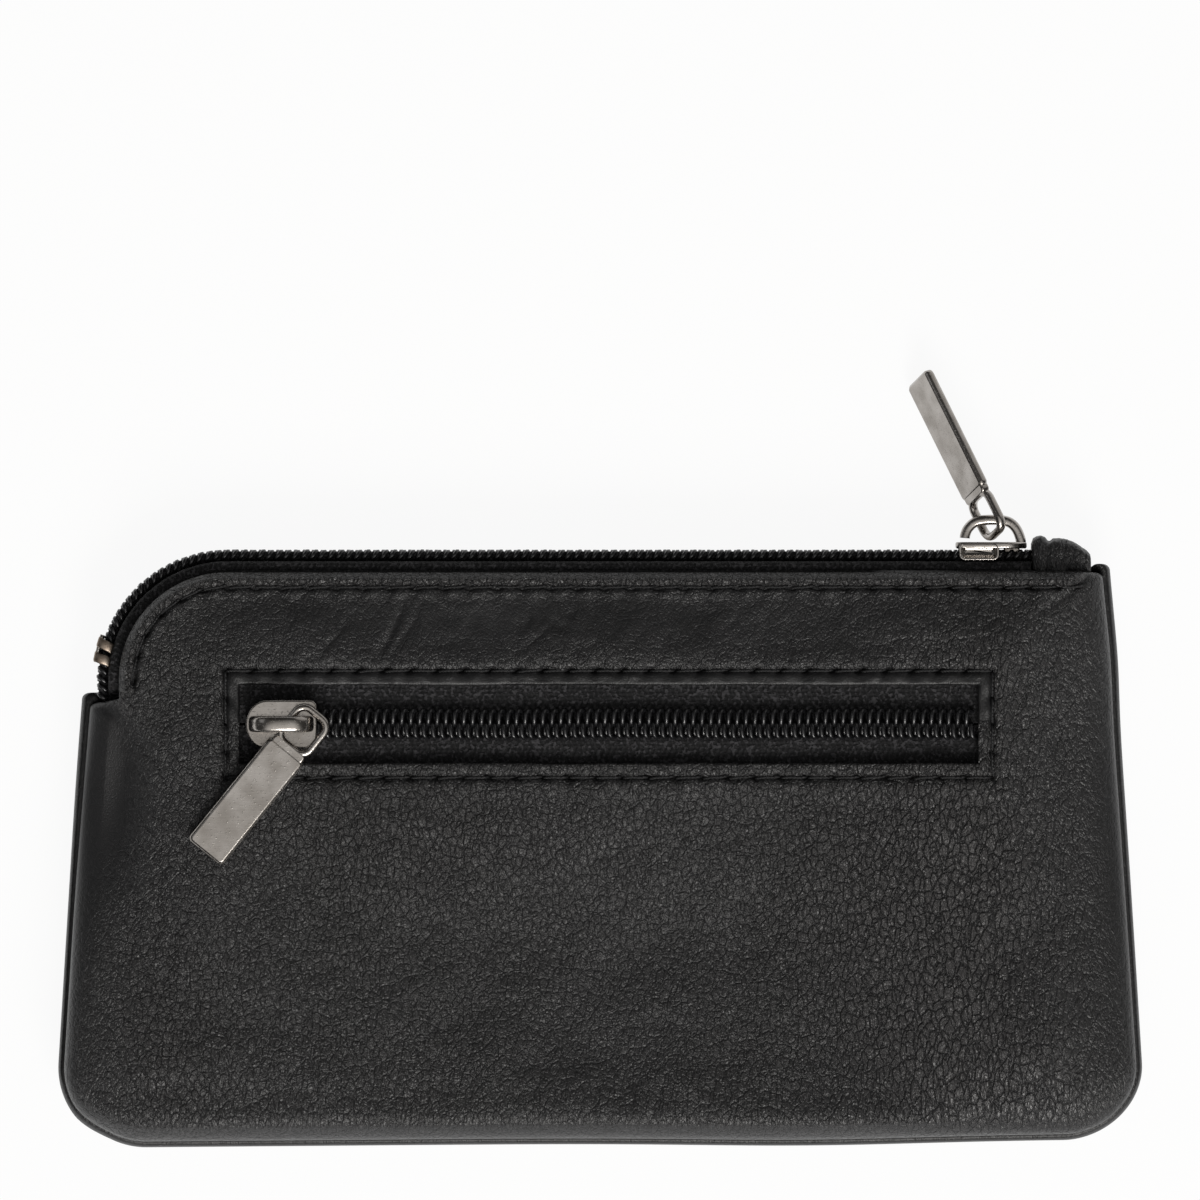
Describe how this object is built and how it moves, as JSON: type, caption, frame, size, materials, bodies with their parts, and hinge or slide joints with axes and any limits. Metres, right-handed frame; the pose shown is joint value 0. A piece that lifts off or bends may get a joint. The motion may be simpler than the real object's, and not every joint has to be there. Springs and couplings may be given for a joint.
{
  "type": "coin purse",
  "caption": "Slim leather coin purse with a zip that turns one rounded corner, a zipped front pocket, a leather end tab and two metal sliders with long flat pulls.",
  "frame": {"origin": "middle of the back's flat outer face, on which the purse lies", "axes": "+X along the zips, towards the end tab; +Y from the bottom edge to the main zip; +Z out through the front panel"},
  "size_m": [0.1347, 0.0973, 0.0185],
  "materials": {
    "leather": "soft black grained leather, semi-matt",
    "lining": "thin plain-woven lining cloth",
    "zip_tape": "close woven polyester tape",
    "zip_coil": "nylon monofilament coil",
    "thread": "black sewing thread",
    "metal": "nickel-plated zinc casting, polished with fine handling marks"
  },
  "bodies": {
    "purse": {"front_panel": "leather", "back_panel": "leather", "front_lining": "lining", "back_lining": "lining", "pocket_bag_front": "lining", "pocket_bag_back": "lining", "main_tape_front": "zip_tape", "main_tape_back": "zip_tape", "main_coil_front": "zip_coil", "main_coil_back": "zip_coil", "main_bottom_stop": "metal", "zip_end_tab": "leather", "pocket_tape_upper": "zip_tape", "pocket_tape_lower": "zip_tape", "pocket_coil_upper": "zip_coil", "pocket_coil_lower": "zip_coil", "mouth_stitches_front": "thread", "mouth_stitches_back": "thread", "window_stitches": "thread"},
    "main_slider": {"main_slider": "metal"},
    "main_pull": {"main_pull": "metal"},
    "pocket_slider": {"pocket_slider": "metal"},
    "pocket_pull": {"pocket_pull": "metal"}
  },
  "joints": [
    {"name": "main_slider_slide", "type": "slide", "parent": "purse", "child": "main_slider", "axis": [-1, 0, 0], "range_m": [0, 0.09]},
    {"name": "main_pull_flip", "type": "hinge", "parent": "main_slider", "child": "main_pull", "pos_m": [0.0495, 0.0395, 0.0083], "axis": [0, 0, 1], "range_deg": [-80, 10]},
    {"name": "pocket_slider_slide", "type": "slide", "parent": "purse", "child": "pocket_slider", "axis": [1, 0, 0], "range_m": [0, 0.082]},
    {"name": "pocket_pull_swivel", "type": "hinge", "parent": "pocket_slider", "child": "pocket_pull", "pos_m": [-0.0363, 0.01565, 0.01635], "axis": [0, 0, 1], "range_deg": [-14, 120]}
  ]
}
